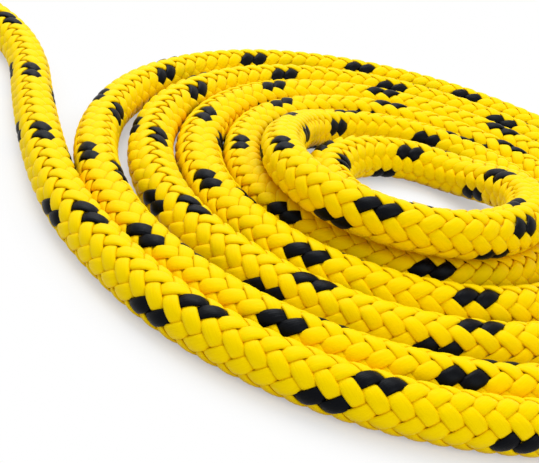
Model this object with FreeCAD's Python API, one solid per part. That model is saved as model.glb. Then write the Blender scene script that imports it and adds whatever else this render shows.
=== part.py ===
import FreeCAD, Part
import math
import os

from FreeCAD import Vector

os.makedirs("parts", exist_ok=True)

# A short dynamic climbing rope, coiled flat from the outside in. A braided sheath covers a core,
# and each cut end is melted shut and held in a shrunk sleeve.
# Lengths are in millimetres and angles in degrees. The angles of the coil count anticlockwise
# seen from above, 270 is the front, and the rope runs inwards as the angle rises.

# Sizes of the rope
ROPE_DIAMETER = 10.0
SHEATH_CORNERS = 8
CORE_CORNERS = 6
SHEATH_WALL = 1.5
UNDERSIDE_CUT = 0.1 * ROPE_DIAMETER

# Sizes of the rope's ends
SLEEVE_LENGTH = 16.0
SLEEVE_WALL = 0.6
SLEEVE_CLEARANCE = 0.05
TIP_DIAMETER = 9.4
TIP_SEATED_LENGTH = 1.0
TIP_DOME_HEIGHT = 1.8

# Outline of the coil
FIRST_RADIUS = 81.4
FIRST_RADIUS_ANGLE = 450.0
PITCH = 11.8
CENTRE_DRIFT = 1.33
OVAL_SHARE = 0.055
OVAL_ANGLE = 16.8
OPENING_OUT = 2.3
OPENING_OUT_FROM = 270.0
OPENING_OUT_SPAN = 150.0
FRONT_ANGLE = 270.0
COIL_START = 240.0
COIL_END = 2430.0
COIL_STEPS = 24

# The last full turn climbs on to its neighbour at the front, steps out over it, comes back,
# and springs open at its end.
CROSSING_GAP = 1.2
CLIMB_FROM = 1920.0
CLIMB_SPAN = 120.0
DESCENT_FROM = 2122.0
DESCENT_SPAN = 120.0
STEP_OUT = 15.5
STEP_OUT_FROM = 1975.0
STEP_OUT_SPAN = 85.0
STEP_BACK_FROM = 2074.0
STEP_BACK_SPAN = 114.0
SETTLE_IN = 3.9
SETTLE_FROM = 2163.0
SETTLE_SPAN = 94.0
SPRING_OPEN = 10.5
SPRING_OPEN_FROM = 2270.0
SPRING_OPEN_SPAN = 134.0

# The straight stretches at the coil's two ends
OUTER_STRAIGHT = ROPE_DIAMETER
INNER_BARE_STRAIGHT = 3.0
END_RISE_SPAN = 88.0

# Corners of the route of the free tail, after the first one, seen from above.
# The first run carries on in line with the coil's outer end.
TAIL_FIRST_RUN = 12.0
TAIL_CORNERS = [
    (-71.0, -51.8),
    (-82.3, -35.5),
    (-95.5, -10.8),
    (-110.0, 22.0),
    (-136.0, 46.0),
    (-168.0, 59.0),
    (-202.0, 51.0),
    (-228.0, 24.0),
    (-236.0, -13.0),
    (-223.0, -51.0),
    (-191.0, -77.0),
    (-150.0, -79.0),
    (-116.0, -60.0),
]
TAIL_RISE_FROM_CORNER = 10
TAIL_ARC_SHARE = 0.45

ROPE_RADIUS = ROPE_DIAMETER / 2
CORE_DIAMETER = ROPE_DIAMETER - 2 * SHEATH_WALL
AXIS_HEIGHT = ROPE_RADIUS - UNDERSIDE_CUT
GAP_SAMPLE_SPACING = 0.15 * ROPE_DIAMETER
GAP_SAMPLES_APART = 5 * ROPE_DIAMETER
SLEEVE_BORE_RADIUS = ROPE_RADIUS + SLEEVE_CLEARANCE
SLEEVE_RADIUS = SLEEVE_BORE_RADIUS + SLEEVE_WALL
END_AXIS_HEIGHT = SLEEVE_RADIUS
CROSSING_LIFT = ROPE_DIAMETER + CROSSING_GAP
UP = Vector(0, 0, 1)


def smooth_step(share):
    share = min(max(share, 0.0), 1.0)
    return share * share * (3 - 2 * share)


def coil_point(angle):
    """A point on the rope's axis in the coil."""
    turns = (angle - FIRST_RADIUS_ANGLE) / 360
    radius = FIRST_RADIUS - PITCH * turns
    radius -= OPENING_OUT * (1 - smooth_step((angle - OPENING_OUT_FROM) / OPENING_OUT_SPAN))
    out = smooth_step((angle - STEP_OUT_FROM) / STEP_OUT_SPAN)
    back = smooth_step((angle - STEP_BACK_FROM) / STEP_BACK_SPAN)
    radius += STEP_OUT * out * (1 - back)
    radius -= SETTLE_IN * smooth_step((angle - SETTLE_FROM) / SETTLE_SPAN)
    radius += SPRING_OPEN * smooth_step((angle - SPRING_OPEN_FROM) / SPRING_OPEN_SPAN)
    radius *= 1 - OVAL_SHARE * math.cos(2 * math.radians(angle - OVAL_ANGLE))
    climbed = smooth_step((angle - CLIMB_FROM) / CLIMB_SPAN)
    descended = smooth_step((angle - DESCENT_FROM) / DESCENT_SPAN)
    risen = smooth_step((angle - COIL_END + END_RISE_SPAN) / END_RISE_SPAN)
    height = AXIS_HEIGHT + CROSSING_LIFT * climbed * (1 - descended)
    height += (END_AXIS_HEIGHT - AXIS_HEIGHT) * risen
    turned = math.radians(angle)
    x = radius * math.cos(turned)
    y = CENTRE_DRIFT * turns + radius * math.sin(turned)
    return Vector(x, y, height)


def coil_direction(angle):
    step = 0.05
    return (coil_point(angle + step) - coil_point(angle - step)).normalize()


def tangent_arc(start, direction, end):
    """The arc that leaves start in a direction and ends at a point, as an edge, and its radius."""
    chord = end - start
    towards_centre = direction.cross(chord).cross(direction).normalize()
    radius = chord.dot(chord) / (2 * chord.dot(towards_centre))
    centre = start + towards_centre * radius
    middle = centre + ((start - centre) + (end - centre)).normalize() * radius
    return Part.Arc(start, middle, end).toShape(), radius


def biarc(start, start_direction, end, end_direction):
    """Two arcs that meet smoothly and join two points with a direction at each."""
    span = end - start
    both = start_direction + end_direction
    spread = 2 * (1 - start_direction.dot(end_direction))
    along = span.dot(both)
    handle = (math.sqrt(along * along + spread * span.dot(span)) - along) / spread
    first_corner = start + start_direction * handle
    second_corner = end - end_direction * handle
    meeting = (first_corner + second_corner) * 0.5
    meeting_direction = (second_corner - first_corner).normalize()
    first, first_radius = tangent_arc(start, start_direction, meeting)
    second, second_radius = tangent_arc(meeting, meeting_direction, end)
    return [first, second], min(first_radius, second_radius)


def rounded_route(corners):
    """Straight runs joined by tangent arcs, as edges and the radius of each arc."""
    edges = []
    radii = []
    reached = corners[0]
    for before, corner, after in zip(corners[:-2], corners[1:-1], corners[2:]):
        arriving = corner - before
        leaving = after - corner
        cut = TAIL_ARC_SHARE * min(arriving.Length, leaving.Length)
        turn = arriving.getAngle(leaving)
        arriving.normalize()
        leaving.normalize()
        radius = cut / math.tan(turn / 2)
        arc_start = corner - arriving * cut
        arc_end = corner + leaving * cut
        corner_to_centre = (leaving - arriving).normalize()
        middle = corner + corner_to_centre * (radius / math.cos(turn / 2) - radius)
        edges.append(Part.LineSegment(reached, arc_start).toShape())
        edges.append(Part.Arc(arc_start, middle, arc_end).toShape())
        radii.append(radius)
        reached = arc_end
    edges.append(Part.LineSegment(reached, corners[-1]).toShape())
    return edges, radii


def section(at, direction, across_corners, corner_count):
    """A regular outline square to the axis, with one of its sides level underneath."""
    side = UP.cross(direction).normalize()
    upwards = direction.cross(side)
    outline = []
    for index in range(corner_count):
        turned = math.pi * (2 * index + 1) / corner_count - math.pi / 2
        sideways = side * (across_corners / 2 * math.cos(turned))
        raised = upwards * (across_corners / 2 * math.sin(turned))
        outline.append(at + sideways + raised)
    return Part.makePolygon(outline + outline[:1])


def swept(name, edges, across_corners, corner_count):
    """A solid of even section along the edges."""
    wire = Part.Wire(edges)
    at = edges[0].Vertexes[0].Point
    ahead = edges[0].tangentAt(edges[0].FirstParameter)
    outline = section(at, ahead, across_corners, corner_count)
    solid = wire.makePipeShell([outline], True, False)
    expected = Part.Face(outline).Area * wire.Length
    print(name, "volume", round(solid.Volume), "against section x length", round(expected))
    return solid


def flat_underneath(solid):
    """The solid without what would lie below the floor."""
    box = solid.BoundBox
    margin = ROPE_DIAMETER
    below = Part.makeBox(box.XLength + 2 * margin, box.YLength + 2 * margin, ROPE_DIAMETER)
    below.translate(Vector(box.XMin - margin, box.YMin - margin, -ROPE_DIAMETER))
    return solid.cut(below)


def round_tube(at, direction, outer_radius, bore_radius, length):
    outer = Part.makeCylinder(outer_radius, length, at, direction)
    return outer.cut(Part.makeCylinder(bore_radius, length, at, direction))


def rope_end(end, outwards):
    """The shrunk sleeve and the melted tip on an end of the rope."""
    sleeve_start = end - outwards * (SLEEVE_LENGTH - TIP_SEATED_LENGTH)
    sleeve = round_tube(sleeve_start, outwards, SLEEVE_RADIUS, SLEEVE_BORE_RADIUS, SLEEVE_LENGTH)
    tip_radius = TIP_DIAMETER / 2
    seated = Part.makeCylinder(tip_radius, TIP_SEATED_LENGTH, end, outwards)
    dome_radius = (tip_radius ** 2 + TIP_DOME_HEIGHT ** 2) / (2 * TIP_DOME_HEIGHT)
    dome_base = end + outwards * TIP_SEATED_LENGTH
    dome_centre = dome_base - outwards * (dome_radius - TIP_DOME_HEIGHT)
    ball = Part.makeSphere(dome_radius, dome_centre)
    dome = ball.common(Part.makeCylinder(tip_radius, TIP_DOME_HEIGHT + 1, dome_base, outwards))
    return sleeve, seated.fuse(dome).removeSplitter()


def points_along(edges, spacing):
    points = []
    for edge in edges:
        count = max(2, int(edge.Length / spacing) + 1)
        points += edge.discretize(Number=count)[:-1]
    return points


def least_gap(edges):
    """The least distance between turns of the coil, less one rope diameter."""
    points = points_along(edges, GAP_SAMPLE_SPACING)
    skipped = int(GAP_SAMPLES_APART / GAP_SAMPLE_SPACING)
    least = FIRST_RADIUS
    for index, point in enumerate(points):
        for other in points[index + skipped:]:
            least = min(least, point.distanceToPoint(other))
    return least - ROPE_DIAMETER


# The coil's axis, from its outer end inwards: a straight stretch, the turns, a straight stretch.
coil_edges = []
coil_radii = []
outer_turn_start = coil_point(COIL_START)
outer_direction = coil_direction(COIL_START)
outer_end = outer_turn_start - outer_direction * OUTER_STRAIGHT
coil_edges.append(Part.LineSegment(outer_end, outer_turn_start).toShape())
step_angle = (COIL_END - COIL_START) / COIL_STEPS
for step in range(COIL_STEPS):
    angle = COIL_START + step * step_angle
    ends = coil_point(angle), coil_direction(angle)
    next_ends = coil_point(angle + step_angle), coil_direction(angle + step_angle)
    arcs, tightest = biarc(*ends, *next_ends)
    coil_edges += arcs
    coil_radii.append(tightest)
inner_turn_end = coil_point(COIL_END)
inner_direction = coil_direction(COIL_END)
inner_straight = INNER_BARE_STRAIGHT + SLEEVE_LENGTH - TIP_SEATED_LENGTH
inner_end = inner_turn_end + inner_direction * inner_straight
coil_edges.append(Part.LineSegment(inner_turn_end, inner_end).toShape())
print("coil least gap", round(least_gap(coil_edges), 2), "least radius", round(min(coil_radii), 1))

# The free tail's axis, from the coil's outer end to the far end.
tail_corners = [outer_end, outer_end - outer_direction * TAIL_FIRST_RUN]
for index, (x, y) in enumerate(TAIL_CORNERS):
    height = END_AXIS_HEIGHT if index > TAIL_RISE_FROM_CORNER else AXIS_HEIGHT
    tail_corners.append(Vector(x, y, height))
tail_edges, tail_radii = rounded_route(tail_corners)
print("tail radii", [round(radius) for radius in tail_radii])
tail_direction = (tail_corners[-1] - tail_corners[-2]).normalize()

# The turns are solid inside. The tail has its sheath and its core apart.
rope_coil = flat_underneath(swept("coil", coil_edges, ROPE_DIAMETER, SHEATH_CORNERS))
tail_core = swept("tail core", tail_edges, CORE_DIAMETER, CORE_CORNERS)
tail_whole = swept("tail", tail_edges, ROPE_DIAMETER, SHEATH_CORNERS)
tail_sheath = flat_underneath(tail_whole.cut(tail_core))
inner_end_sleeve, inner_sealed_tip = rope_end(inner_end, inner_direction)
outer_end_sleeve, outer_sealed_tip = rope_end(tail_corners[-1], tail_direction)

pieces = {
    "rope_coil": rope_coil,
    "tail_sheath": tail_sheath,
    "tail_core": tail_core,
    "inner_end_sleeve": inner_end_sleeve,
    "outer_end_sleeve": outer_end_sleeve,
    "inner_sealed_tip": inner_sealed_tip,
    "outer_sealed_tip": outer_sealed_tip,
}

# The middle of the underside of the whole rope is the origin.
box = Part.makeCompound(list(pieces.values())).optimalBoundingBox(False)
shift = Vector(-(box.XMin + box.XMax) / 2, -(box.YMin + box.YMax) / 2, 0)
for name, shape in pieces.items():
    shape.translate(shift)
    shape.exportStep("parts/" + name + ".step")
    print(name, len(shape.Solids), "solid, valid", shape.isValid(), "volume", round(shape.Volume))

coil_length = sum(edge.Length for edge in coil_edges)
tail_length = sum(edge.Length for edge in tail_edges)
tips_length = 2 * (TIP_SEATED_LENGTH + TIP_DOME_HEIGHT)
print("lengths: coil", round(coil_length), "tail", round(tail_length))
print("rope end to end", round(coil_length + tail_length + tips_length))
print("shift", round(shift.x, 2), round(shift.y, 2))
print("box", [round(side, 2) for side in (box.XLength, box.YLength, box.ZMin, box.ZMax)])
resting = coil_point(FRONT_ANGLE) + shift
print("point of rest under the front turn", round(resting.x, 2), round(resting.y, 2))
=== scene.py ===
import math

import bpy
import numpy as np
from mathutils import Matrix, Vector


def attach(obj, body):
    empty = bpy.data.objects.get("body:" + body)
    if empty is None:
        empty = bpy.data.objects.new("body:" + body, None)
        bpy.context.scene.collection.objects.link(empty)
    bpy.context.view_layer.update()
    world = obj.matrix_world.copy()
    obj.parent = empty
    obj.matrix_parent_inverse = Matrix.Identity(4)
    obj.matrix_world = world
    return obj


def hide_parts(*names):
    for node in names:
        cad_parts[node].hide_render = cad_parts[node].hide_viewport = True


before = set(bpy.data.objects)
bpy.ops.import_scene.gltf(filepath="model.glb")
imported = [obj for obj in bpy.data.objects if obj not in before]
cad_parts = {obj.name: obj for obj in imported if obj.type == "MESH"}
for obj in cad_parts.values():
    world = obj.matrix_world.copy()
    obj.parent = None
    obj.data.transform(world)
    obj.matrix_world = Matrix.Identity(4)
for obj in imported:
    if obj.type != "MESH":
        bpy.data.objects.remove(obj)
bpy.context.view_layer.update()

# Camera. It stands in front of the coil and looks down on it, a little tilted, as the photograph
# does. Places are in metres, seen from the middle of the coil, which lies to the right of the
# middle of the whole rope.
scene = bpy.context.scene
coil_middle = Vector((0.07664, 0.00221, 0.0))
camera_place = Vector((0.00646, -0.25056, 0.10943))
camera_turn, camera_dip, camera_tilt = -0.1416, 0.4556, 0.2395
focal_pixels, photo_width = 1121.6, 539
sensor_width = 36.0

forward = Vector((
    math.sin(camera_turn) * math.cos(camera_dip),
    math.cos(camera_turn) * math.cos(camera_dip),
    -math.sin(camera_dip),
))
level_right = Vector((math.cos(camera_turn), -math.sin(camera_turn), 0.0))
level_up = level_right.cross(forward)
right = level_right * math.cos(camera_tilt) + level_up * math.sin(camera_tilt)
up = level_up * math.cos(camera_tilt) - level_right * math.sin(camera_tilt)
camera = bpy.data.objects.new("camera", bpy.data.cameras.new("camera"))
scene.collection.objects.link(camera)
camera.matrix_world = Matrix.Translation(coil_middle + camera_place) @ Matrix(
    (right, up, -forward)).transposed().to_4x4()
camera.data.sensor_width = sensor_width
camera.data.lens = sensor_width * focal_pixels / photo_width
camera.data.clip_start = 0.01
scene.camera = camera

# Core of the rope: bundled undyed polyamide yarn that carries the load, under the sheath all the
# way. Only slits of it show, and its colour is painted shade: a dark yellow that stands in for
# the sheath's shade and yellow light on the white yarn. It is laid in a flat coil from the
# outside in, with a free tail, and its last full turn climbs over its neighbour at the front.
rope_radius = 0.005
core_radius = 0.0041
# Painted shade: the white core is given the dark yellow of the sheath's shade around it.
core_painted_shade_colour = (0.70, 0.52, 0.02, 1.0)

# Angles run anticlockwise from above, and 270 is the front. A span is its start and its length.
first_angle, last_angle = 250, 2430
first_bend_span = (270, 150)
step_out_span, step_back_span = (1977, 83), (2074, 114)
draw_in_span = (2163, 94)
spring_open_span = (2270, 134)
climb_span, descent_span = (1920, 120), (2112, 120)
sleeve_lift_span = (last_angle - 90, 90)

full_turn = 360
outer_back_angle, outer_back_radius = 450, 0.0814
turn_spacing = 0.0118
first_bend_inset = 0.0029
step_out = 0.0160
draw_in = 0.0039
spring_open = 0.0105
oval_share, oval_angle = 0.055, 16.8
drift_per_turn = 0.00133
crossing_height = 0.0106
sleeve_lift = 0.00065

points_per_turn = 24
inward_of_points = 1.0086
heading_step = 0.5
straight_end = 0.018
straight_end_shares = (0.0, 0.4, 1.0)
tail_points = [
    (-0.1160, -0.0600, 0.00565), (-0.1500, -0.0790, 0.00565), (-0.1910, -0.0770, 0.005),
    (-0.2230, -0.0510, 0.005), (-0.2360, -0.0130, 0.005), (-0.2280, 0.0240, 0.005),
    (-0.2020, 0.0510, 0.005), (-0.1680, 0.0590, 0.005), (-0.1393, 0.0471, 0.005),
    (-0.1094, 0.0250, 0.005), (-0.0891, -0.0155, 0.005), (-0.0674, -0.0514, 0.005),
    (-0.0484, -0.0700, 0.005),
]


def eased(angle, span):
    """A smooth rise from 0 before the span to 1 after it."""
    start, length = span
    share = min(max((angle - start) / length, 0.0), 1.0)
    return share * share * (3 - 2 * share)


def coil_point(angle, widened=1.0):
    """A point of the coil's middle line, seen from the middle of the coil."""
    turns = (angle - outer_back_angle) / full_turn
    radius = outer_back_radius - turn_spacing * turns
    radius -= first_bend_inset * (1 - eased(angle, first_bend_span))
    radius += step_out * eased(angle, step_out_span) * (1 - eased(angle, step_back_span))
    radius -= draw_in * eased(angle, draw_in_span)
    radius += spring_open * eased(angle, spring_open_span)
    radius *= widened * (1 - oval_share * math.cos(2 * math.radians(angle - oval_angle)))
    height = rope_radius
    height += crossing_height * eased(angle, climb_span) * (1 - eased(angle, descent_span))
    height += sleeve_lift * eased(angle, sleeve_lift_span)
    turned = math.radians(angle)
    return Vector((
        radius * math.cos(turned), drift_per_turn * turns + radius * math.sin(turned), height))


def new_finish(name, roughness):
    """A material with its nodes, its links and its shader."""
    material = bpy.data.materials.new(name)
    material.use_nodes = True
    nodes, links = material.node_tree.nodes, material.node_tree.links
    shader = nodes["Principled BSDF"]
    shader.inputs["Roughness"].default_value = roughness
    return material, nodes, links, shader


route = [Vector(point) for point in tail_points]
step = full_turn // points_per_turn
for angle in range(first_angle, last_angle - step // 2, step):
    route.append(coil_point(angle, inward_of_points))
inner_turn_end = coil_point(last_angle)
inner_direction = (inner_turn_end - coil_point(last_angle - heading_step)).normalized()
inner_direction.z = 0.0
inner_direction.normalize()
for share in straight_end_shares:
    route.append(inner_turn_end + inner_direction * (straight_end * share))

core_curve = bpy.data.curves.new("rope_core", "CURVE")
core_curve.dimensions = "3D"
core_curve.resolution_u = 12
spline = core_curve.splines.new("NURBS")
spline.points.add(len(route) - 1)
for point, place in zip(spline.points, route):
    point.co = (*(place + coil_middle), 1.0)
spline.order_u = 3
spline.use_endpoint_u = True
core = bpy.data.objects.new("rope_core", core_curve)
scene.collection.objects.link(core)

bare_line = bpy.data.meshes.new_from_object(core)
line = np.array([vertex.co for vertex in bare_line.vertices])
bpy.data.meshes.remove(bare_line)
core_curve.bevel_depth = core_radius
core_curve.bevel_resolution = 2
core_curve.use_fill_caps = True

core_material, nodes, links, shader = new_finish("undyed_core_yarn_in_painted_shade", roughness=0.8)
# The core's colour is painted shade, not its own white.
shader.inputs["Base Color"].default_value = core_painted_shade_colour
core_curve.materials.append(core_material)
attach(core, "root")

# Sheath: sixteen carriers of twisted polyamide yarn, eight each way round, braided over two and
# under two. Two carriers side by side are black, so pairs of black flecks wind round the rope.
# Each yarn is an oval band that swells where it lies on top and dives where it goes under.
carriers_each_way = 8
black_carriers = (0, 1)
columns = 4
rings_per_wave = 12
yarn_radius_over, yarn_radius_under = 0.00422, 0.0036
yarn_swell = 0.00036
yarn_width_over, yarn_width_under = 0.0032, 0.0022
yarn_thickness = 0.0011
dive_sharpness = 2.4
yarn_outline = [
    (-1.0, -0.1), (-0.84, 0.5), (-0.48, 0.88), (0.0, 1.0), (0.48, 0.88), (0.84, 0.5), (1.0, -0.1),
    (0.6, -0.8), (-0.6, -0.8),
]

# Where the sheath's pattern comes round: millimetres along the rope from the tail's far end,
# turns of the braid up to there, and degrees by which the rope is twisted there. An eighth of a
# turn is added, so that where the turns are whole the black pair is that far round from the top.
braid_course = [
    (-2, -9, 0), (322, 0, 4), (361, 1, 6), (397.5, 2, 12), (436, 3, 5), (472, 4, 9),
    (505.5, 5, 13), (537, 6, 8), (777.5, 13, 58), (814, 14, 50), (890, 16, 46), (924, 17, 38),
    (961.5, 18, 33), (995.5, 19, 38), (1027, 20, 45), (1277.5, 27, 50), (1315.5, 28, 50),
    (1357, 29, 68), (1393, 30, 82), (1428, 31, 92), (1460, 32, 88), (1717.5, 39, 85),
    (1756, 40, 120), (1788.5, 41, 132), (1822, 42, 115), (2040, 48, 95), (2070.5, 49, 146),
    (2102.5, 50, 148), (2201.5, 53, 122), (2295, 56, 112), (2323, 57, 126), (2356.5, 58, 137),
    (2384, 59, 148), (2421, 60, 141), (2522, 63, 141),
]
black_pair_offset = 0.125

# The turns sag a little towards the middle of the coil and flatten in their tight bends:
# millimetres along the rope, millimetres inwards, and share by which the rope is wider there.
bend_course = [
    (0, 0, 0), (1190, 0, 0), (1300, 0.7, 0.05), (1355, 1.0, 0.085), (1430, 0.6, 0.05),
    (1520, 0, 0), (1620, 0, 0), (1695, 0.6, 0.08), (1740, 0.8, 0.11), (1790, 0.5, 0.06),
    (1850, 0, 0), (2330, 0, 0), (2362, 1.0, 0.15), (2392, 1.1, 0.17), (2425, 1.2, 0.21),
    (2455, 1.5, 0.26), (2472, 1.7, 0.28), (2496, 0, 0), (2600, 0, 0),
]

# Both courses are read every half millimetre and evened out over about twenty millimetres.
fine_step = 0.0005
evened_each_side = 20
evened_points = 2 * evened_each_side + 1
stations = np.concatenate([[0.0], np.cumsum(np.linalg.norm(np.diff(line, axis=0), axis=1))])
fine = np.arange(0.0, stations[-1], fine_step)
padded = np.arange(-evened_each_side, len(fine) + evened_each_side) * fine_step


def evened(millimetres, values):
    """The values at the fine stations, evened out along the rope."""
    weights = np.ones(evened_points) / evened_points
    return np.convolve(np.interp(padded, millimetres / 1000, values), weights, "valid")


def read_along(values, places):
    """Three columns of values, known at places along the rope, read at the rings of the yarns."""
    return np.stack([np.interp(along, places, values[:, axis]) for axis in range(3)], axis=1)


course, bends = np.array(braid_course, dtype=float), np.array(bend_course, dtype=float)
fine_turns = evened(course[:, 0], course[:, 1] + black_pair_offset)
fine_twist = evened(course[:, 0], course[:, 2])
fine_inwards = evened(bends[:, 0], bends[:, 1] / 1000)
fine_wider = evened(bends[:, 0], bends[:, 2])
fine_middle = np.stack([np.interp(fine, stations, line[:, axis]) for axis in range(3)], axis=1)
fine_heading = np.gradient(fine_middle, axis=0)

wave_step = 1 / (columns * rings_per_wave)
first_ring, last_ring = math.ceil(fine_turns[0] / wave_step), int(fine_turns[-1] / wave_step)
ring_turns = np.arange(first_ring, last_ring + 1) * wave_step
along = np.interp(ring_turns, fine_turns, fine)
phase = 2 * math.pi * ring_turns
twist = np.radians(np.interp(along, fine, fine_twist))
wider = 1 + np.interp(along, fine, fine_wider)
heading = read_along(fine_heading, fine)
heading /= np.linalg.norm(heading, axis=1)[:, None]
top = np.array([0.0, 0.0, 1.0]) - heading * heading[:, 2:3]
top /= np.linalg.norm(top, axis=1)[:, None]
side = np.cross(heading, top)
middle = read_along(line, stations)
middle -= side * np.interp(along, fine, fine_inwards)[:, None]


def yarn_mesh(name, way, number):
    """One carrier's yarn as a flat oval band, wound along the whole rope."""
    share_round = (number + (0.5 if way < 0 else 0.0)) / carriers_each_way
    turned = way * phase + 2 * math.pi * share_round
    wave = np.cos(columns * turned) * (1 if way < 0 else -1)
    over = 0.5 + 0.5 * np.tanh(dive_sharpness * wave) / math.tanh(dive_sharpness)
    radius = yarn_radius_under + (yarn_radius_over - yarn_radius_under) * over
    radius = radius + yarn_swell * np.maximum(wave, 0)
    width = yarn_width_under + (yarn_width_over - yarn_width_under) * over
    around = turned + twist
    outward = top * np.cos(around)[:, None] + side * (np.sin(around) * wider)[:, None]
    centre = middle + outward * radius[:, None]
    even_centre = middle + outward * (yarn_radius_under + yarn_radius_over) / 2
    along_yarn = np.gradient(even_centre, axis=0)
    along_yarn /= np.linalg.norm(along_yarn, axis=1)[:, None]
    across = np.cross(outward, along_yarn)
    across /= np.linalg.norm(across, axis=1)[:, None]
    shape = np.array(yarn_outline)
    rings = (
        centre[:, None, :]
        + across[:, None, :] * (shape[None, :, 0] * width[:, None] / 2)[:, :, None]
        + outward[:, None, :] * (shape[None, :, 1] * yarn_thickness / 2)[:, :, None]
    )

    count, sides = len(along), len(yarn_outline)
    ring_start = np.arange(count - 1)[:, None] * sides
    here = ring_start + np.arange(sides)
    beside = ring_start + (np.arange(sides) + 1) % sides
    quads = np.stack([here, beside, beside + sides, here + sides], axis=-1)
    quads = quads.reshape(-1, 4)[:, ::-1]
    end_ring = (count - 1) * sides + np.arange(sides)
    corners = np.concatenate([quads.reshape(-1), np.arange(sides), end_ring[::-1]])
    caps_start = len(quads) * 4
    starts = np.concatenate([np.arange(len(quads)) * 4, [caps_start, caps_start + sides]])
    mesh = bpy.data.meshes.new(name)
    mesh.vertices.add(count * sides)
    mesh.vertices.foreach_set("co", rings.reshape(-1))
    mesh.loops.add(len(corners))
    mesh.loops.foreach_set("vertex_index", corners)
    mesh.polygons.add(len(starts))
    mesh.polygons.foreach_set("loop_start", starts)
    mesh.update(calc_edges=True)
    mesh.polygons.foreach_set("use_smooth", np.ones(len(starts), dtype=bool))

    yarn_run = np.concatenate([[0.0], np.cumsum(np.linalg.norm(np.diff(centre, axis=0), axis=1))])
    centimetres = yarn_run[corners // sides] * 100
    share_of_outline = (corners % sides) / sides
    uv = np.stack([centimetres, share_of_outline], axis=1)
    mesh.uv_layers.new(name="along_yarn").data.foreach_set("uv", uv.reshape(-1))
    mesh.validate()
    return mesh


# Bundled filaments: fine grain drawn out along the yarn, given here as its fineness for each
# centimetre along a yarn and once round it. The grain's low streaks take a darker colour, which
# is painted shade in the grooves between filaments, and the colour deepens where yarns press on
# each other, which is painted shade in the creases.
grain_fineness = (1.6, 40.0, 1.0)
painted_crease_shade_reach = 0.003
filaments_and_painted_shade = bpy.data.node_groups.new("filaments_and_painted_shade", "ShaderNodeTree")
sockets = filaments_and_painted_shade.interface
sockets.new_socket("Place Along Yarn", in_out="INPUT", socket_type="NodeSocketVector")
sockets.new_socket("Raised Colour", in_out="INPUT", socket_type="NodeSocketColor")
sockets.new_socket("Painted Groove Shade Colour", in_out="INPUT", socket_type="NodeSocketColor")
sockets.new_socket("Painted Crease Shade Colour", in_out="INPUT", socket_type="NodeSocketColor")
sockets.new_socket("Colour", in_out="OUTPUT", socket_type="NodeSocketColor")
sockets.new_socket("Relief", in_out="OUTPUT", socket_type="NodeSocketFloat")
nodes, links = filaments_and_painted_shade.nodes, filaments_and_painted_shade.links
entry = nodes.new("NodeGroupInput")
result = nodes.new("NodeGroupOutput")
stretch = nodes.new("ShaderNodeMapping")
stretch.inputs["Scale"].default_value = grain_fineness
filaments = nodes.new("ShaderNodeTexNoise")
filaments.inputs["Scale"].default_value = 1.0
filaments.inputs["Detail"].default_value = 3.0
# Painted shade: the darker colour goes on the grain's low streaks, where the grooves lie.
grained = nodes.new("ShaderNodeMix")
grained.data_type = "RGBA"
painted_shade_openness = nodes.new("ShaderNodeAmbientOcclusion")
painted_shade_openness.samples = 6
painted_shade_openness.inputs["Distance"].default_value = painted_crease_shade_reach
# Painted shade: the colour deepens to the crease colour where the surface is enclosed.
painted_crease_shading = nodes.new("ShaderNodeMix")
painted_crease_shading.data_type = "RGBA"
links.new(entry.outputs["Place Along Yarn"], stretch.inputs["Vector"])
links.new(stretch.outputs["Vector"], filaments.inputs["Vector"])
links.new(filaments.outputs["Fac"], grained.inputs["Factor"])
links.new(entry.outputs["Painted Groove Shade Colour"], grained.inputs["A"])
links.new(entry.outputs["Raised Colour"], grained.inputs["B"])
links.new(painted_shade_openness.outputs["AO"], painted_crease_shading.inputs["Factor"])
links.new(entry.outputs["Painted Crease Shade Colour"], painted_crease_shading.inputs["A"])
links.new(grained.outputs["Result"], painted_crease_shading.inputs["B"])
links.new(painted_crease_shading.outputs["Result"], result.inputs["Colour"])
links.new(filaments.outputs["Fac"], result.inputs["Relief"])

yarn_gloss = 0.07
filament_bump, filament_depth = 0.6, 0.00012


def add_relief(nodes, links, shader, height, strength, depth):
    """Lets a height that changes over the surface tilt what the light sees."""
    bump = nodes.new("ShaderNodeBump")
    bump.inputs["Strength"].default_value = strength
    bump.inputs["Distance"].default_value = depth
    links.new(height, bump.inputs["Height"])
    links.new(bump.outputs["Normal"], shader.inputs["Normal"])


def yarn_material(name, raised_colour, painted_groove_shade_colour, painted_crease_shade_colour, sheen_colour, roughness):
    """Shiny polyamide yarn of one colour, with painted shade in its grooves and creases."""
    material, nodes, links, shader = new_finish(name, roughness)
    shader.inputs["Specular IOR Level"].default_value = yarn_gloss
    shader.inputs["Specular Tint"].default_value = sheen_colour
    place = nodes.new("ShaderNodeUVMap")
    place.uv_map = "along_yarn"
    surface = nodes.new("ShaderNodeGroup")
    surface.node_tree = filaments_and_painted_shade
    surface.inputs["Raised Colour"].default_value = raised_colour
    surface.inputs["Painted Groove Shade Colour"].default_value = painted_groove_shade_colour
    surface.inputs["Painted Crease Shade Colour"].default_value = painted_crease_shade_colour
    links.new(place.outputs["UV"], surface.inputs["Place Along Yarn"])
    links.new(surface.outputs["Colour"], shader.inputs["Base Color"])
    add_relief(nodes, links, shader, surface.outputs["Relief"], filament_bump, filament_depth)
    return material


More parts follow.
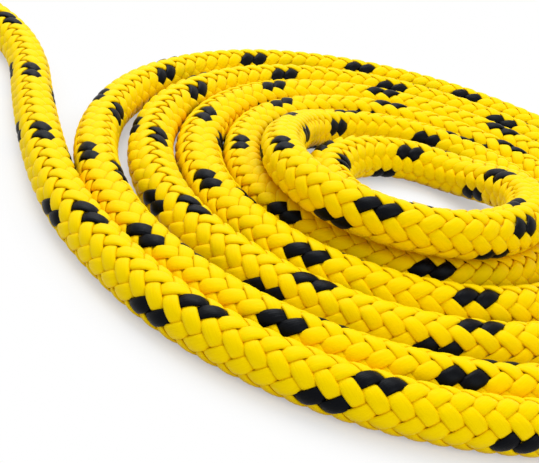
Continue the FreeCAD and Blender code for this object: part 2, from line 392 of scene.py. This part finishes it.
# The groove and crease colours of both yarns are painted shade.
yellow_yarn = yarn_material(
    "yellow_yarn", raised_colour=(1.0, 0.78, 0.0, 1.0), painted_groove_shade_colour=(0.92, 0.60, 0.0, 1.0),
    painted_crease_shade_colour=(0.90, 0.52, 0.0, 1.0), sheen_colour=(1.0, 0.75, 0.1, 1.0), roughness=0.45)
black_yarn = yarn_material(
    "black_yarn", raised_colour=(0.003, 0.003, 0.004, 1.0),
    painted_groove_shade_colour=(0.001, 0.001, 0.002, 1.0), painted_crease_shade_colour=(0.001, 0.001, 0.001, 1.0),
    sheen_colour=(0.8, 0.9, 1.0, 1.0), roughness=0.38)
for way, letter in ((-1, "a"), (1, "b")):
    for number in range(carriers_each_way):
        black = way < 0 and number in black_carriers
        name = ("black_yarn_" if black else "yellow_yarn_") + letter + str(number + 1)
        yarn = bpy.data.objects.new(name, yarn_mesh(name, way, number))
        scene.collection.objects.link(yarn)
        yarn.data.materials.append(black_yarn if black else yellow_yarn)
        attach(yarn, "root")

# End sleeves: short lengths of yellow heat-shrink film, one on each end of the rope. The film is
# shrunk tight over the braid, holds it to the core, and reaches a millimetre past the cut, over
# the skirt of the melted tip.
sleeve_length = 0.016
sleeve_bore_radius = 0.00512
sleeve_wall = 0.0004
reach_over_tip = 0.001
film_colour = (0.86, 0.60, 0.0, 1.0)
film_bump, film_bump_depth = 0.8, 0.0004
ripple_size, ripple_height = 0.0035, 0.00018
sharp_edge = math.radians(40)
rope_ends = {
    "outer": (route[0] + coil_middle, (route[0] - route[1]).normalized()),
    "inner": (route[-1] + coil_middle, inner_direction),
}

uneven_surface = bpy.data.node_groups.new("uneven_surface", "ShaderNodeTree")
sockets = uneven_surface.interface
sockets.new_socket("Place", in_out="INPUT", socket_type="NodeSocketVector")
sockets.new_socket("Fineness", in_out="INPUT", socket_type="NodeSocketFloat")
sockets.new_socket("Detail", in_out="INPUT", socket_type="NodeSocketFloat")
sockets.new_socket("Height", in_out="OUTPUT", socket_type="NodeSocketFloat")
nodes, links = uneven_surface.nodes, uneven_surface.links
entry = nodes.new("NodeGroupInput")
result = nodes.new("NodeGroupOutput")
patches = nodes.new("ShaderNodeTexNoise")
links.new(entry.outputs["Place"], patches.inputs["Vector"])
links.new(entry.outputs["Fineness"], patches.inputs["Scale"])
links.new(entry.outputs["Detail"], patches.inputs["Detail"])
links.new(patches.outputs["Fac"], result.inputs["Height"])


def add_unevenness(nodes, links, fineness, detail):
    """The height of small lumps or creases all over a piece."""
    place = nodes.new("ShaderNodeTexCoord")
    uneven = nodes.new("ShaderNodeGroup")
    uneven.node_tree = uneven_surface
    uneven.inputs["Fineness"].default_value = fineness
    uneven.inputs["Detail"].default_value = detail
    links.new(place.outputs["Object"], uneven.inputs["Place"])
    return uneven.outputs["Height"]


film, nodes, links, shader = new_finish("yellow_shrink_film", roughness=0.3)
shader.inputs["Base Color"].default_value = film_colour
creases = add_unevenness(nodes, links, fineness=420.0, detail=2.0)
add_relief(nodes, links, shader, creases, film_bump, film_bump_depth)

film_ripple = bpy.data.textures.new("film_ripple", "CLOUDS")
film_ripple.noise_scale = ripple_size
bpy.ops.object.select_all(action="DESELECT")
for which, (end, outwards) in rope_ends.items():
    bpy.ops.mesh.primitive_cylinder_add(
        vertices=64, radius=sleeve_bore_radius, depth=sleeve_length, end_fill_type="NOTHING",
        location=end - outwards * (sleeve_length / 2 - reach_over_tip),
        rotation=outwards.to_track_quat("Z", "Y").to_euler())
    sleeve = bpy.context.object
    sleeve.name = which + "_shrunk_sleeve"
    bpy.ops.object.transform_apply(location=True, rotation=True, scale=True)
    bpy.ops.object.mode_set(mode="EDIT")
    bpy.ops.mesh.select_all(action="SELECT")
    bpy.ops.mesh.subdivide(number_cuts=7)
    bpy.ops.object.mode_set(mode="OBJECT")
    wall = sleeve.modifiers.new("wall", "SOLIDIFY")
    wall.thickness = sleeve_wall
    wall.offset = 1.0
    ripple = sleeve.modifiers.new("ripple", "DISPLACE")
    ripple.texture = film_ripple
    ripple.strength = ripple_height
    ripple.mid_level = 0.5
    for modifier in ("wall", "ripple"):
        bpy.ops.object.modifier_apply(modifier=modifier)
    bpy.ops.object.shade_smooth_by_angle(angle=sharp_edge)
    sleeve.data.materials.append(film)
    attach(sleeve, "root")
    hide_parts(which + "_end_sleeve")

# Sealed tips: the rope was cut with a hot blade, and the molten polyamide of sheath and core set
# as one lumpy, glassy brown button that keeps the end from fraying. Its dome stands on a short
# skirt inside the sleeve.
tip_radius = 0.0050
tip_dome_height = 0.0018
flattened = tip_dome_height / tip_radius
burnt_colour, clear_melt_colour = (0.05, 0.025, 0.004, 1.0), (0.62, 0.42, 0.02, 1.0)
melt_bump, melt_bump_depth = 0.5, 0.0003
lump_size, lump_height, lump_level = 0.002, 0.0006, 0.6

melt, nodes, links, shader = new_finish("melted_polyamide", roughness=0.22)
patches = add_unevenness(nodes, links, fineness=500.0, detail=4.0)
colours = nodes.new("ShaderNodeMix")
colours.data_type = "RGBA"
colours.inputs["A"].default_value = burnt_colour
colours.inputs["B"].default_value = clear_melt_colour
links.new(patches, colours.inputs["Factor"])
links.new(colours.outputs["Result"], shader.inputs["Base Color"])
add_relief(nodes, links, shader, patches, melt_bump, melt_bump_depth)

melt_lumps = bpy.data.textures.new("melt_lumps", "CLOUDS")
melt_lumps.noise_scale = lump_size
for which, (end, outwards) in rope_ends.items():
    bpy.ops.mesh.primitive_uv_sphere_add(segments=64, ring_count=48, radius=tip_radius)
    tip = bpy.context.object
    tip.name = which + "_melted_tip"
    bpy.ops.object.mode_set(mode="EDIT")
    bpy.ops.mesh.select_all(action="SELECT")
    bpy.ops.mesh.bisect(plane_co=(0, 0, 0), plane_no=(0, 0, 1), clear_inner=True)
    bpy.ops.mesh.extrude_region_move(
        TRANSFORM_OT_translate={"value": (0, 0, -reach_over_tip / flattened)})
    bpy.ops.mesh.edge_face_add()
    bpy.ops.mesh.select_all(action="SELECT")
    bpy.ops.mesh.normals_make_consistent(inside=False)
    bpy.ops.object.mode_set(mode="OBJECT")
    tip.scale = (1.0, 1.0, flattened)
    tip.rotation_euler = outwards.to_track_quat("Z", "Y").to_euler()
    tip.location = end + outwards * reach_over_tip
    bpy.ops.object.transform_apply(location=True, rotation=True, scale=True)
    lumps = tip.modifiers.new("lumps", "DISPLACE")
    lumps.texture = melt_lumps
    lumps.strength = lump_height
    lumps.mid_level = lump_level
    bpy.ops.object.modifier_apply(modifier="lumps")
    bpy.ops.object.shade_smooth()
    tip.data.materials.append(melt)
    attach(tip, "root")
    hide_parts(which + "_sealed_tip")

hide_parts("rope_coil", "tail_sheath", "tail_core")

# Floor and light: a plain white floor, a white surround and two broad soft lamps from above.
# Floor and surround are white to the eye and in reflections, and throw less light than that on
# the rope.
# Near the rope and in the gaps between its turns the floor's white glow is turned down, so the
# floor there shows the lamps' real soft shadow together with painted shade.
floor_size = 4.0
floor_grey = (0.7, 0.7, 0.7, 1.0)
painted_shadow_reach, painted_shadow_sharpness, whiteness_in_painted_shade = 0.009, 1.6, 0.4
surround_light = 0.54
lamps = [
    ("broad_lamp", (-0.25, 0.35, 0.75), 0.6, 6.4),
    ("front_lamp", (0.55, -0.5, 0.55), 0.5, 2.2),
]


def seen_or_reflected(nodes, links):
    """One for rays of the eye, of reflections and through clear stuff, else nothing."""
    ray = nodes.new("ShaderNodeLightPath")
    seen = ray.outputs["Is Camera Ray"]
    for kind in ("Is Glossy Ray", "Is Transmission Ray"):
        either = nodes.new("ShaderNodeMath")
        either.operation = "MAXIMUM"
        links.new(seen, either.inputs[0])
        links.new(ray.outputs[kind], either.inputs[1])
        seen = either.outputs["Value"]
    return seen


bpy.ops.mesh.primitive_plane_add(size=floor_size, location=(0, 0, 0))
floor = bpy.context.object
floor.name = "floor"
floor_material, nodes, links, shader = new_finish("white_floor", roughness=0.9)
shader.inputs["Base Color"].default_value = floor_grey
glow = nodes.new("ShaderNodeEmission")
glow.inputs["Strength"].default_value = 1.0
# Painted shade: the floor's glow is lowered where the rope encloses it, darkening the gaps
# between turns and the rope's foot.
painted_shade_openness = nodes.new("ShaderNodeAmbientOcclusion")
painted_shade_openness.samples = 8
painted_shade_openness.inputs["Distance"].default_value = painted_shadow_reach
sharpened = nodes.new("ShaderNodeMath")
sharpened.operation = "POWER"
sharpened.inputs[1].default_value = painted_shadow_sharpness
whiteness = nodes.new("ShaderNodeMapRange")
whiteness.inputs["To Min"].default_value = whiteness_in_painted_shade
whiteness.inputs["To Max"].default_value = 1.0
glow_share = nodes.new("ShaderNodeMath")
glow_share.operation = "MULTIPLY"
mix = nodes.new("ShaderNodeMixShader")
links.new(painted_shade_openness.outputs["AO"], sharpened.inputs[0])
links.new(sharpened.outputs["Value"], whiteness.inputs["Value"])
links.new(seen_or_reflected(nodes, links), glow_share.inputs[0])
links.new(whiteness.outputs["Result"], glow_share.inputs[1])
links.new(glow_share.outputs["Value"], mix.inputs["Fac"])
links.new(shader.outputs["BSDF"], mix.inputs[1])
links.new(glow.outputs["Emission"], mix.inputs[2])
links.new(mix.outputs["Shader"], nodes["Material Output"].inputs["Surface"])
floor.data.materials.append(floor_material)

world = bpy.data.worlds.new("soft_surround")
scene.world = world
world.use_nodes = True
nodes, links = world.node_tree.nodes, world.node_tree.links
nodes["Background"].inputs["Color"].default_value = (1.0, 1.0, 1.0, 1.0)
brightness = nodes.new("ShaderNodeMapRange")
brightness.inputs["To Min"].default_value = surround_light
brightness.inputs["To Max"].default_value = 1.0
links.new(seen_or_reflected(nodes, links), brightness.inputs["Value"])
links.new(brightness.outputs["Result"], nodes["Background"].inputs["Strength"])

for name, place, size, power in lamps:
    lamp_data = bpy.data.lights.new(name, "AREA")
    lamp_data.size = size
    lamp_data.energy = power
    lamp = bpy.data.objects.new(name, lamp_data)
    scene.collection.objects.link(lamp)
    lamp.location = place
    lamp.rotation_euler = (coil_middle - Vector(place)).to_track_quat("-Z", "Y").to_euler()

scene.view_settings.view_transform = "Standard"
